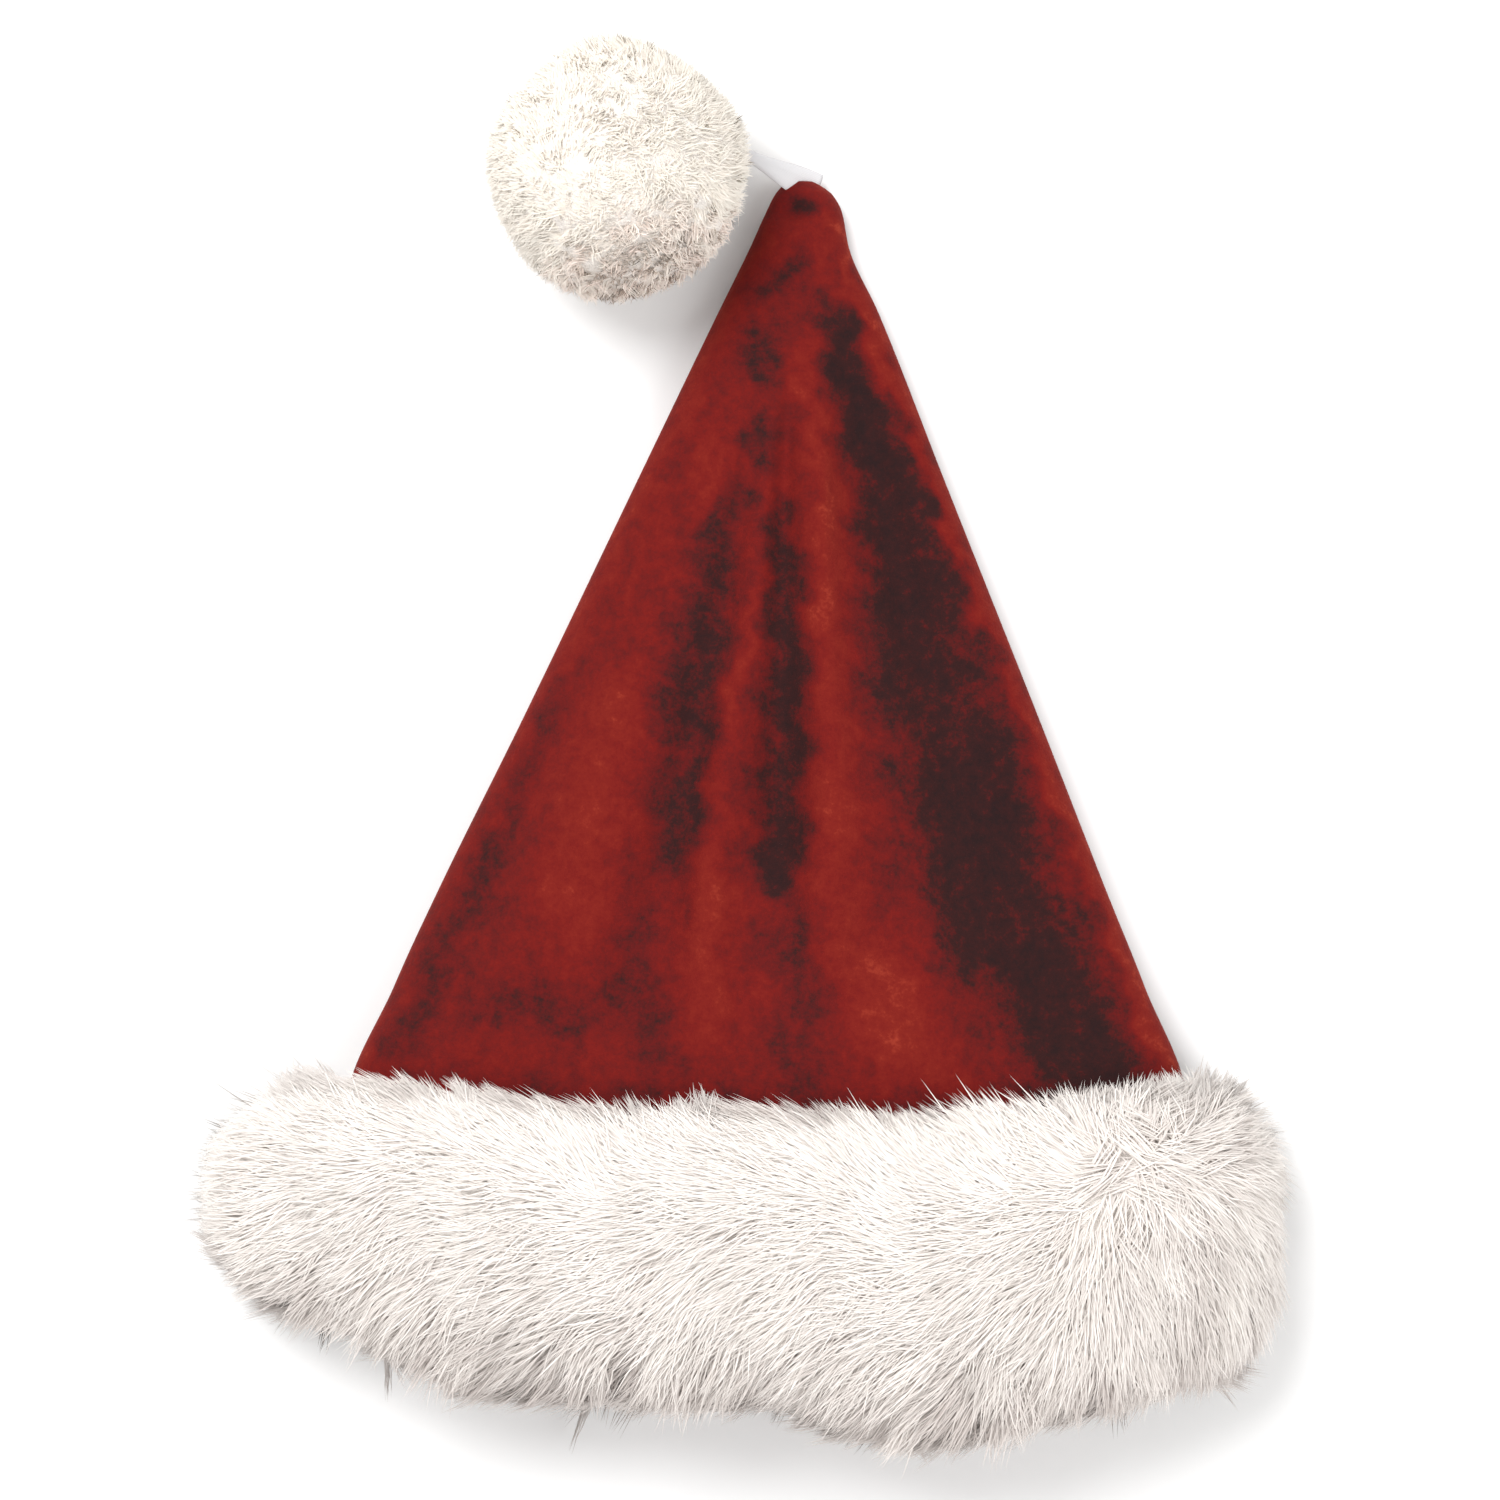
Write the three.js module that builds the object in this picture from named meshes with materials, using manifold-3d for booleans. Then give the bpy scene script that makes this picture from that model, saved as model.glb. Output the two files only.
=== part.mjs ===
// A plush holiday hat lying on its back on a table: a red velour crown, a deep white fur cuff round its mouth,
// and a white pompom on a short white tie at its tip.
// Millimetres. X runs across the mouth, Y from the mouth to the tip and Z up from the table.
import * as THREE from "three";
import { mergeVertices } from "three/addons/utils/BufferGeometryUtils.js";
import Module from "manifold-3d";

const wasm = await Module();
wasm.setup();

// The crown, lying flat.
const CROWN_LENGTH = 435;
const MOUTH_WIDTH = 300;
const CROWN_DEPTH = 46; // over both layers at the mouth
const PLUSH_WALL = 2.4;
const HOLLOW_LENGTH = 412; // from the mouth to the sewn end inside the tip
const FOLD_AT_SIDES = 0.34; // height of the side folds, as a share of the crown's depth
const DIMPLE = { back: 11, across: -4, length: 7, width: 11, depth: 4.5 }; // in the tip, back from its end

// The fur cuff. Its depths are out from the crown.
const CUFF_HEIGHT = 100;
const FUR_ABOVE = 30;
const FUR_UNDER = 13; // flattened by the hat's weight
const FUR_LEFT = 50;
const FUR_RIGHT = 36;
const LOCK_LENGTH = 40;
const LOCK_WIDTH = 22;
const LOCK_THICK = 11;

// The pompom and its tie.
const POMPOM_WIDTH = 88; // without its tufts
const POMPOM_REST = 43; // its centre above the table
const POMPOM_LEFT = 54; // its centre from the crown's middle line
const POMPOM_AHEAD = 2; // its centre beyond the tip
const TUFT_LENGTH = 16;
const TUFT_WIDTH = 21;
const TIE_WIDE = 12; // where it is sewn into the tip
const TIE_NARROW = 4; // where it enters the pompom
const TIE_THICK = 3.4;
const TIE_SEWN_IN = 7; // length held in the tip
const TIE_IN_POMPOM = 10;

const HEM = 9; // from the cuff's rim in to the crown's mouth edge
const HEM_ROOM = 1.6; // left for the edge in the cuff's fold
const CLEARANCE = 0.35; // between pieces that touch

// How fine the meshes are.
const CROWN_UPPER_STEPS = 34;
const CROWN_LOWER_STEPS = 10;
const CUFF_STEPS = 44;
const CUFF_PROFILE_STEPS = 10;
const LOCK_SIDES = 4;

// The crown's sections, from the mouth to the tip. along: share of CROWN_LENGTH. left, right: shares of half
// MOUTH_WIDTH, from the middle line. depth: share of CROWN_DEPTH. lift: share of FUR_UNDER, which carries the mouth.
const CROWN_SECTIONS = [
  { along: 0.0, left: 0.98, right: 0.98, depth: 0.96, lift: 1.0 },
  { along: 0.12, left: 1.0, right: 1.0, depth: 1.0, lift: 1.0 },
  { along: 0.23, left: 1.01, right: 1.01, depth: 1.04, lift: 0.8 },
  { along: 0.33, left: 0.898, right: 0.909, depth: 1.12, lift: 0.2 },
  { along: 0.41, left: 0.792, right: 0.817, depth: 1.06, lift: 0.0 },
  { along: 0.55, left: 0.592, right: 0.659, depth: 0.93, lift: 0.0 },
  { along: 0.75, left: 0.314, right: 0.43, depth: 0.7, lift: 0.0 },
  { along: 0.89, left: 0.119, right: 0.271, depth: 0.52, lift: 0.0 },
  { along: 0.945, left: 0.041, right: 0.199, depth: 0.44, lift: 0.0 },
  { along: 0.975, left: 0.002, right: 0.182, depth: 0.4, lift: 0.0 },
  { along: 0.99, left: -0.02, right: 0.158, depth: 0.34, lift: 0.02 },
  { along: 1.0, left: -0.045, right: 0.118, depth: 0.22, lift: 0.1 },
];

// The folds in the crown's upper layer. from, to: shares of CROWN_LENGTH. start, end: where the fold lies at those
// places, as shares of the half width from the middle. width: share of the half width. height: share of CROWN_DEPTH,
// up for a ridge and down for a furrow.
const CROWN_FOLDS = [
  { name: "left_hollow", from: 0.2, to: 0.62, start: -0.87, end: -0.84, width: 0.07, height: -0.05 },
  { name: "left_mound", from: 0.3, to: 0.66, start: -0.6, end: -0.6, width: 0.2, height: 0.1 },
  { name: "left_furrow", from: 0.24, to: 0.82, start: -0.36, end: -0.28, width: 0.1, height: -0.11 },
  { name: "narrow_ridge", from: 0.22, to: 0.6, start: -0.14, end: -0.23, width: 0.07, height: 0.06 },
  { name: "middle_furrow", from: 0.38, to: 0.86, start: 0.03, end: -0.06, width: 0.085, height: -0.15 },
  { name: "middle_ridge", from: 0.3, to: 0.84, start: 0.17, end: 0.2, width: 0.09, height: 0.11 },
  { name: "right_mound", from: 0.2, to: 0.36, start: 0.3, end: 0.24, width: 0.2, height: 0.08 },
  { name: "right_hollow", from: 0.22, to: 0.92, start: 0.8, end: 0.45, width: 0.23, height: -0.22 },
  { name: "right_roll", from: 0.26, to: 0.9, start: 0.97, end: 0.93, width: 0.06, height: 0.05 },
];

// The cuff from its left end to its right one. across: share of half MOUTH_WIDTH. rim, brow: its lower and upper
// edges from the crown's mouth, as shares of CUFF_HEIGHT.
const CUFF_SECTIONS = [
  { across: -1.0, rim: 0.28, brow: 1.06 },
  { across: -0.83, rim: 0.13, brow: 1.05 },
  { across: -0.66, rim: 0.03, brow: 1.02 },
  { across: -0.3, rim: 0.0, brow: 0.96 },
  { across: 0.02, rim: -0.01, brow: 0.97 },
  { across: 0.16, rim: -0.09, brow: 0.95 },
  { across: 0.36, rim: -0.15, brow: 0.93 },
  { across: 0.65, rim: -0.07, brow: 0.98 },
  { across: 1.0, rim: 0.04, brow: 1.04 },
];

// Rows of fur locks, from the cuff's upper edge to its lower one. at: share of the way over the fur. count: locks
// right round the cuff. lean: how far they point along Y. length: share of LOCK_LENGTH.
const CUFF_LOCK_ROWS = [
  { at: 0.1, count: 28, lean: 1.0, length: 0.85 },
  { at: 0.33, count: 21, lean: 0.5, length: 0.95 },
  { at: 0.58, count: 21, lean: -0.35, length: 0.95 },
  { at: 0.84, count: 26, lean: -1.0, length: 0.72 },
];
const LOCK_SWEEP = 0.4; // how far the locks are combed towards the left
const LOCK_RISE = 0.28; // how far they stand off the fur
const END_RISE = 0.8; // the same at the cuff's two ends
const END_LENGTH = 0.68; // share of their length that the locks there have
const POMPOM_TUFTS = 48;
const CUFF_ROUNDNESS = 2.7; // exponent of the rolled profile: 2 is an ellipse, more is squarer

const ease = (x) => x * x * (3 - 2 * x);
const clamp = THREE.MathUtils.clamp;
const power = (x, exponent) => Math.sign(x) * Math.pow(Math.abs(x), exponent);

// A smooth value of one column of a table at a key, with no overshoot between its rows.
function column(table, key, name, at) {
  const last = table.length - 1;
  const x = clamp(at, table[0][key], table[last][key]);
  const i = Math.min(table.findLastIndex((row) => row[key] <= x), last - 1);
  const slope = (a) => (table[a + 1][name] - table[a][name]) / (table[a + 1][key] - table[a][key]);
  const tangent = (a) => {
    if (a === 0 || a === last) return slope(Math.min(a, last - 1));
    const [before, after] = [slope(a - 1), slope(a)];
    return before * after > 0 ? (2 * before * after) / (before + after) : 0;
  };
  const step = table[i + 1][key] - table[i][key];
  const u = (x - table[i][key]) / step;
  const [u2, u3] = [u * u, u * u * u];
  return (
    table[i][name] * (2 * u3 - 3 * u2 + 1) +
    table[i + 1][name] * (3 * u2 - 2 * u3) +
    step * (tangent(i) * (u3 - 2 * u2 + u) + tangent(i + 1) * (u3 - u2))
  );
}

// Repeatable random numbers from 0 to 1.
function randomNumbers(seed) {
  let state = seed;
  return () => {
    state = (state * 1664525 + 1013904223) % 4294967296;
    return state / 4294967296;
  };
}

// A closed mesh as a solid, and back.
function solidOf(geometry) {
  const bare = new THREE.BufferGeometry().setAttribute("position", geometry.getAttribute("position"));
  bare.setIndex(geometry.index);
  const merged = mergeVertices(bare, 1e-4);
  return new wasm.Manifold(
    new wasm.Mesh({
      numProp: 3,
      vertProperties: merged.attributes.position.array,
      triVerts: new Uint32Array(merged.index.array),
    }),
  );
}

function geometryOf(solid) {
  const mesh = solid.getMesh();
  const geometry = new THREE.BufferGeometry();
  geometry.setAttribute("position", new THREE.BufferAttribute(new Float32Array(mesh.vertProperties), 3));
  geometry.setIndex(new THREE.BufferAttribute(new Uint32Array(mesh.triVerts), 1));
  const faceted = geometry.toNonIndexed();
  faceted.computeVertexNormals();
  return faceted;
}

// A skin over rings of points, each with the same count. It is closed on itself, or by a fan at each end, the last
// of which may rise to an apex.
function skin(rings, { closed = false, apex = null } = {}) {
  const count = rings[0].length;
  const positions = rings.flat().flatMap((p) => p.toArray());
  const faces = [];
  const point = (ring, i) => (ring % rings.length) * count + (i % count);
  for (let ring = 0; ring < rings.length - (closed ? 0 : 1); ring++)
    for (let i = 0; i < count; i++) {
      const [a, b, c, d] = [point(ring, i), point(ring, i + 1), point(ring + 1, i + 1), point(ring + 1, i)];
      faces.push(a, b, c, a, c, d);
    }
  if (!closed)
    for (const ring of [0, rings.length - 1]) {
      const centre = rings[ring].reduce((sum, p) => sum.add(p), new THREE.Vector3()).divideScalar(count);
      const middle = positions.push(...(ring && apex ? apex : centre).toArray()) / 3 - 1;
      for (let i = 0; i < count; i++) {
        const [a, b] = [point(ring, i), point(ring, i + 1)];
        faces.push(middle, ...(ring ? [a, b] : [b, a]));
      }
    }
  const geometry = new THREE.BufferGeometry();
  geometry.setAttribute("position", new THREE.Float32BufferAttribute(positions, 3));
  geometry.setIndex(faces);
  const solid = solidOf(geometry);
  return solid.volume() > 0 ? solid : solidOf(turned(geometry));
}

function turned(geometry) {
  const faces = Array.from(geometry.index.array);
  for (let i = 0; i < faces.length; i += 3) [faces[i + 1], faces[i + 2]] = [faces[i + 2], faces[i + 1]];
  return new THREE.BufferGeometry().setAttribute("position", geometry.getAttribute("position")).setIndex(faces);
}

// The height of the folds, as a share of CROWN_DEPTH, at a place across and along the upper layer.
function foldHeight(across, along) {
  const FADE = 0.1;
  return CROWN_FOLDS.reduce((sum, fold) => {
    const reach = (along - fold.from) / (fold.to - fold.from);
    const fade = ease(clamp((along - fold.from) / FADE, 0, 1)) * ease(clamp((fold.to - along) / FADE, 0, 1));
    const off = (across - THREE.MathUtils.lerp(fold.start, fold.end, clamp(reach, 0, 1))) / fold.width;
    return sum + fold.height * fade * Math.exp(-off * off);
  }, 0);
}

function dimple(x, y) {
  const off = new THREE.Vector2(
    (x - tipMiddle() - DIMPLE.across) / DIMPLE.width,
    (y - CROWN_LENGTH + DIMPLE.back) / DIMPLE.length,
  );
  return DIMPLE.depth * Math.exp(-2 * off.lengthSq());
}

const crownColumn = (name, along) => column(CROWN_SECTIONS, "along", name, along);
const tipMiddle = () => ((crownColumn("right", 0.975) - crownColumn("left", 0.975)) * MOUTH_WIDTH) / 4;

// The crown's mouth edge runs a little inside the cuff's rim, and its sections straighten by the cuff's upper edge.
function mouthSlant(across, along) {
  const edge = cuffColumn("rim", across) + HEM;
  return edge * (1 - ease(clamp(along / CUFF_TOP, 0, 1)));
}

// A point on the crown. along: share of its length. angle: round its section, from the right fold over the top.
// inset: how far inside the outer face.
function crownPoint(along, angle, inset) {
  const y = along * CROWN_LENGTH + mouthSlant(Math.cos(angle), along);
  const left = (-crownColumn("left", along) * MOUTH_WIDTH) / 2 + inset;
  const right = (crownColumn("right", along) * MOUTH_WIDTH) / 2 - inset;
  const table = crownColumn("lift", along) * FUR_UNDER;
  const depth = crownColumn("depth", along) * CROWN_DEPTH;
  const side = table + depth * FOLD_AT_SIDES;
  const across = Math.cos(angle);
  const x = (left + right) / 2 + ((right - left) / 2) * across;
  if (Math.sin(angle) >= 0) {
    const crest = depth * (1 - FOLD_AT_SIDES) - inset;
    const folds = foldHeight(across, along) * depth * (1 - across ** 6) - dimple(x, y);
    return new THREE.Vector3(x, y, side + crest * Math.sin(angle) ** 0.9 + folds);
  }
  const sag = (depth * FOLD_AT_SIDES + 0.8) * Math.abs(Math.sin(angle)) ** 0.5;
  return new THREE.Vector3(x, y, Math.max(table + inset, side - sag + inset));
}

// Angles round the crown's section: even steps in angle, drawn towards even steps across.
function crownAngles(upper, lower) {
  const spread = (steps, from) =>
    Array.from({ length: steps }, (_, i) => {
      const share = i / steps;
      return from + 0.4 * share * Math.PI + 0.6 * Math.acos(1 - 2 * share);
    });
  return [...spread(upper, 0), ...spread(lower, Math.PI)];
}

// The crown's outer form, or its hollow. stations: shares of the length.
function crownForm(stations, angles, inset) {
  return skin(stations.map((along) => angles.map((angle) => crownPoint(along, angle, inset))));
}

const CUFF_TOP = 0.23; // share of the crown's length that the cuff covers
const CROWN_STATIONS = [
  0, 0.12, 0.23, 0.28, 0.33, 0.38, 0.43, 0.48, 0.54, 0.6, 0.66, 0.72, 0.78, 0.84, 0.89, 0.925, 0.95, 0.965, 0.978,
  0.989, 1,
];

function crownSolid() {
  const hollowEnd = HOLLOW_LENGTH / CROWN_LENGTH;
  const stations = [...CROWN_STATIONS.filter((along) => along < hollowEnd), hollowEnd];
  const angles = crownAngles(CROWN_UPPER_STEPS, CROWN_LOWER_STEPS);
  const hollow = crownForm(stations, angles, PLUSH_WALL).add(mouthWay(angles));
  return crownForm(CROWN_STATIONS, angles, 0).subtract(hollow).subtract(tieForm(CLEARANCE));
}

// The clear way through the mouth, with the section of the crown's hollow.
function mouthWay(angles) {
  const edge = angles.map((angle) => crownPoint(0, angle, PLUSH_WALL));
  const OVERLAP = 1;
  return skin([
    edge.map((p) => new THREE.Vector3(p.x, -CUFF_HEIGHT, p.z)),
    edge.map((p) => new THREE.Vector3(p.x, p.y + OVERLAP, p.z)),
  ]);
}

// How deep the fur is in a direction out from the crown.
function furDepth(out) {
  const sideways = out.x < 0 ? FUR_LEFT : FUR_RIGHT;
  const upright = out.z > 0 ? FUR_ABOVE : FUR_UNDER * 1.25;
  return sideways * out.x ** 2 + upright * out.z ** 2;
}

const cuffColumn = (name, across) => column(CUFF_SECTIONS, "across", name, across) * CUFF_HEIGHT;

// Low lumps in the fur.
const lumps = (angle, over) =>
  1.6 * Math.sin(3 * angle + 5 * over) + 1.3 * Math.sin(7 * angle - 4 * over) + 0.9 * Math.sin(11 * angle + 9 * over);

// A point on the fur. angle: round the crown. over: from the upper edge, 0, to the lower edge, 1.
function furPoint(angle, over) {
  const MIDWAY = 0.12;
  const base = crownPoint(MIDWAY, angle, 0);
  const ahead = crownPoint(MIDWAY, angle + 0.02, 0).sub(crownPoint(MIDWAY, angle - 0.02, 0));
  const out = new THREE.Vector3(ahead.z, 0, -ahead.x).normalize();
  const across = clamp((2 * base.x) / MOUTH_WIDTH, -1, 1);
  const [rim, brow] = [cuffColumn("rim", across), cuffColumn("brow", across)];
  const turn = Math.PI * over;
  const rolled = Math.pow(Math.sin(turn), 2 / CUFF_ROUNDNESS);
  const along = power(Math.cos(turn), 2 / CUFF_ROUNDNESS);
  const point = base.addScaledVector(out, rolled * (furDepth(out) + lumps(angle, over)));
  point.y = (brow + rim) / 2 + ((brow - rim) / 2) * along;
  point.z = Math.max(point.z, 0);
  return point;
}

// The direction in which the fur faces at a place on it.
function furNormal(angle, over) {
  const round = furPoint(angle + 0.03, over).sub(furPoint(angle - 0.03, over));
  const down = furPoint(angle, over + 0.03).sub(furPoint(angle, over - 0.03));
  return new THREE.Vector3().crossVectors(round, down).normalize();
}

// A leaf-shaped lock of fur. It leaves its root along a direction, flat against the fur that faces out, and its end
// is bent by a share of its length. shoulder: where it is still nearly full width, as a share of the length.
function lock(root, direction, out, { length, width, thick, shoulder, bend }) {
  const side = new THREE.Vector3().crossVectors(direction, out).normalize();
  const up = new THREE.Vector3().crossVectors(side, direction).normalize();
  const along = (at) =>
    root
      .clone()
      .addScaledVector(direction, at * length)
      .addScaledVector(bend, at * at * length);
  const rings = [0, shoulder].map((at) =>
    Array.from({ length: LOCK_SIDES }, (_, i) => {
      const turn = (2 * Math.PI * i) / LOCK_SIDES;
      return along(at)
        .addScaledVector(side, 0.5 * width * Math.cos(turn))
        .addScaledVector(up, 0.5 * thick * Math.sin(turn));
    }),
  );
  return skin(rings, { apex: along(1) });
}

function cuffLocks() {
  const random = randomNumbers(7);
  return CUFF_LOCK_ROWS.flatMap(({ at, count, lean, length }) =>
    Array.from({ length: count }, (_, i) => {
      const angle = (2 * Math.PI * (i + 0.6 * random())) / count;
      const over = clamp(at + 0.05 * (random() - 0.5), 0.04, 0.96);
      const root = furPoint(angle, over);
      const out = furNormal(angle, over);
      const sweep = new THREE.Vector3(-LOCK_SWEEP, lean + 0.3 * (random() - 0.5), 0).addScaledVector(out, 0.01);
      const flat = sweep.addScaledVector(out, -sweep.dot(out)).normalize();
      const rise = THREE.MathUtils.lerp(LOCK_RISE, END_RISE, out.x ** 2);
      const direction = flat.clone().addScaledVector(out, rise).normalize();
      root.addScaledVector(out, -0.4 * LOCK_THICK);
      const size = length * (0.85 + 0.3 * random()) * THREE.MathUtils.lerp(1, END_LENGTH, out.x ** 2);
      return { root, direction, out, size };
    }),
  )
    .filter(({ root }) => root.z > LOCK_THICK / 2)
    .map(({ root, direction, out, size }) =>
      lock(root, direction, out, {
        length: size * LOCK_LENGTH,
        width: LOCK_WIDTH,
        thick: LOCK_THICK,
        shoulder: 0.45,
        bend: out.clone().multiplyScalar(-0.12),
      }),
    );
}

// A block from the table down, which trims what would sink into it.
function belowTable() {
  const size = 3 * CROWN_LENGTH;
  return solidOf(new THREE.BoxGeometry(size, size, size).translate(0, CROWN_LENGTH / 2, -size / 2));
}

function cuffSolid() {
  const rings = Array.from({ length: CUFF_STEPS }, (_, i) => {
    const angle = (2 * Math.PI * i) / CUFF_STEPS;
    const ring = Array.from({ length: CUFF_PROFILE_STEPS }, (_, j) => furPoint(angle, j / (CUFF_PROFILE_STEPS - 1)));
    const inner = crownPoint(0.12, angle, 2 * PLUSH_WALL);
    const ends = [ring[ring.length - 1], ring[0]];
    return [...ring, ...ends.map((end) => new THREE.Vector3(inner.x, end.y, inner.z))];
  });
  const angles = crownAngles(CROWN_UPPER_STEPS, CROWN_LOWER_STEPS);
  const clear = crownForm([-HEM_ROOM / CROWN_LENGTH, ...CROWN_STATIONS], angles, -CLEARANCE);
  const fur = wasm.Manifold.union([skin(rings, { closed: true }), ...cuffLocks()]);
  return largest(fur.subtract(clear).subtract(mouthWay(angles)).subtract(belowTable()));
}

// The main body of a solid, without the loose chips that a cut leaves.
function largest(solid) {
  return solid.decompose().reduce((a, b) => (a.volume() > b.volume() ? a : b));
}

const pompomCentre = () => new THREE.Vector3(-POMPOM_LEFT, CROWN_LENGTH + POMPOM_AHEAD, POMPOM_REST);

// Points spread evenly over a ball.
function ballDirections(count) {
  const GOLDEN_TURN = Math.PI * (3 - Math.sqrt(5));
  return Array.from({ length: count }, (_, i) => {
    const z = 1 - (2 * (i + 0.5)) / count;
    const ring = Math.sqrt(1 - z * z);
    return new THREE.Vector3(ring * Math.cos(i * GOLDEN_TURN), ring * Math.sin(i * GOLDEN_TURN), z);
  });
}

// The pompom's outline has low lumps.
const pompomRadius = (d) =>
  (POMPOM_WIDTH / 2) * (1 + 0.02 * Math.sin(5 * d.x + 2) + 0.02 * Math.sin(6 * d.y + 4 * d.z));

function pompomSolid() {
  const random = randomNumbers(23);
  const head = new THREE.IcosahedronGeometry(1, 3);
  const positions = head.getAttribute("position");
  const centre = pompomCentre();
  for (let i = 0; i < positions.count; i++) {
    const d = new THREE.Vector3().fromBufferAttribute(positions, i).normalize();
    positions.setXYZ(i, ...d.multiplyScalar(pompomRadius(d)).add(centre).toArray());
  }
  head.deleteAttribute("normal");
  head.deleteAttribute("uv");
  const ball = solidOf(mergeVertices(head, 1e-3));
  const tufts = ballDirections(POMPOM_TUFTS).map((d) => {
    const sweep = new THREE.Vector3(random() - 0.5, random() - 0.5, random() - 0.5).normalize();
    const root = centre.clone().addScaledVector(d, pompomRadius(d) - 0.75 * TUFT_LENGTH);
    const direction = d.clone().addScaledVector(sweep, 0.3).normalize();
    return lock(root, direction, sweep.cross(d).normalize(), {
      length: TUFT_LENGTH * (0.9 + 0.2 * random()),
      width: TUFT_WIDTH,
      thick: TUFT_WIDTH,
      shoulder: 0.72,
      bend: new THREE.Vector3(),
    });
  });
  return largest(wasm.Manifold.union([ball, ...tufts]).subtract(tieForm(CLEARANCE)).subtract(belowTable()));
}

// The tie runs from its seam in the tip to the pompom's core, and narrows on the way. grow: how much fatter.
function tieForm(grow) {
  const tip = new THREE.Vector3(tipMiddle() - 2, CROWN_LENGTH, 0.11 * CROWN_DEPTH + TIE_THICK / 2);
  const centre = pompomCentre();
  const entry = new THREE.Vector3(0.9, 0.22, -0.36).normalize().multiplyScalar(POMPOM_WIDTH / 2).add(centre);
  const way = entry.clone().sub(tip).normalize();
  const route = new THREE.CatmullRomCurve3([
    tip.clone().addScaledVector(new THREE.Vector3(way.x, way.y, 0), -TIE_SEWN_IN),
    tip,
    tip.clone().lerp(entry, 0.5).add(new THREE.Vector3(0, 0, -1)),
    entry,
    entry.clone().addScaledVector(way, TIE_IN_POMPOM),
  ]);
  const STEPS = 8;
  const SIDES = 8;
  const rings = Array.from({ length: STEPS + 1 }, (_, i) => {
    const at = i / STEPS;
    const ahead = route.getTangent(at);
    const middle = route.getPoint(at).addScaledVector(ahead, grow * (i === STEPS ? 1 : i === 0 ? -1 : 0));
    const side = new THREE.Vector3().crossVectors(ahead, new THREE.Vector3(0, 0, 1)).normalize();
    const up = new THREE.Vector3().crossVectors(side, ahead);
    const wide = THREE.MathUtils.lerp(TIE_WIDE, TIE_NARROW, ease(clamp(at / 0.7, 0, 1))) / 2 + grow;
    const thick = TIE_THICK / 2 + grow;
    return Array.from({ length: SIDES }, (_, k) => {
      const turn = (2 * Math.PI * k) / SIDES;
      return middle.clone().addScaledVector(side, wide * Math.cos(turn)).addScaledVector(up, thick * Math.sin(turn));
    });
  });
  return skin(rings);
}

const finish = (color, roughness) => new THREE.MeshStandardMaterial({ color, roughness, metalness: 0 });
const redVelour = finish("#7f1d1a", 0.85);
const whiteFur = finish("#f2ece6", 0.95);
const whitePlush = finish("#efebe0", 0.95);
const whiteRibbon = finish("#dcdad6", 0.6);

function piece(name, solid, material) {
  const mesh = new THREE.Mesh(geometryOf(solid), material);
  mesh.name = name;
  return mesh;
}

const hat = new THREE.Group();
hat.add(
  piece("crown", crownSolid(), redVelour),
  piece("fur_cuff", cuffSolid(), whiteFur),
  piece("pompom", pompomSolid(), whitePlush),
  piece("pompom_tie", tieForm(0), whiteRibbon),
);

// The origin is the middle of the hat's footprint, on the table.
const footprint = new THREE.Box3().setFromObject(hat);
const middle = footprint.getCenter(new THREE.Vector3());
hat.position.set(-middle.x, -middle.y, -footprint.min.z);

export default hat;
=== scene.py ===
"""A plush holiday hat lying on its back: a red velour crown, a deep white fur cuff and a white
pompom on a short tie.

Sizes in the tables are millimetres or shares of them. X runs across the mouth, Y from the mouth to
the tip and Z up from the table. A shape is worked out in the hat's own layout, with the mouth at
Y 0, and then moved into the frame.
"""

import bpy
import numpy as np
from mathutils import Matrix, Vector


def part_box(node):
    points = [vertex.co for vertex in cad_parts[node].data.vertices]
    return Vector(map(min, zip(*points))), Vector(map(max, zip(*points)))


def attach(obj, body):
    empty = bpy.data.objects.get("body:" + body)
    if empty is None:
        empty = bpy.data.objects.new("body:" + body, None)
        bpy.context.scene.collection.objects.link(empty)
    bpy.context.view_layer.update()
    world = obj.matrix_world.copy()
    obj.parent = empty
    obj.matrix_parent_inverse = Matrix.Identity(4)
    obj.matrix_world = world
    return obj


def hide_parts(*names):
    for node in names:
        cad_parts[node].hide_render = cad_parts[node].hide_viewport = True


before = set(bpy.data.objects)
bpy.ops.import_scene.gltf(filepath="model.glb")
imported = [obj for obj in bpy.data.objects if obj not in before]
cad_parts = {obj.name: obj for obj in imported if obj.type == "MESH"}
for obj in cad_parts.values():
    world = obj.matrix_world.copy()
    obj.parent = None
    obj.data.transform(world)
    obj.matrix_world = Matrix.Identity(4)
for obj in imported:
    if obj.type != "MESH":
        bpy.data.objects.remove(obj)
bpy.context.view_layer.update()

# The crown, lying flat.
CROWN_LENGTH = 435.0
MOUTH_WIDTH = 300.0
CROWN_DEPTH = 46.0
PLUSH_WALL = 2.4
HOLLOW_LENGTH = 412.0
FOLD_AT_SIDES = 0.34
DIMPLE = {"back": 11.0, "across": -4.0, "length": 7.0, "width": 11.0, "depth": 4.5}
DIMPLE_SHADE = {"back": 9.5, "across": 0.3, "length": 3.8, "width": 6.5, "tone": -1.3}
CUFF_TOP = 0.23

# The fur cuff.
CUFF_HEIGHT = 100.0
FUR_ABOVE = 30.0
FUR_UNDER = 13.0
FUR_LEFT = 50.0
FUR_RIGHT = 36.0
CUFF_ROUNDNESS = 2.7
CUFF_MIDDLE = 0.12  # how far along the crown the cuff's middle is
HEM = 9.0

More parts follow.
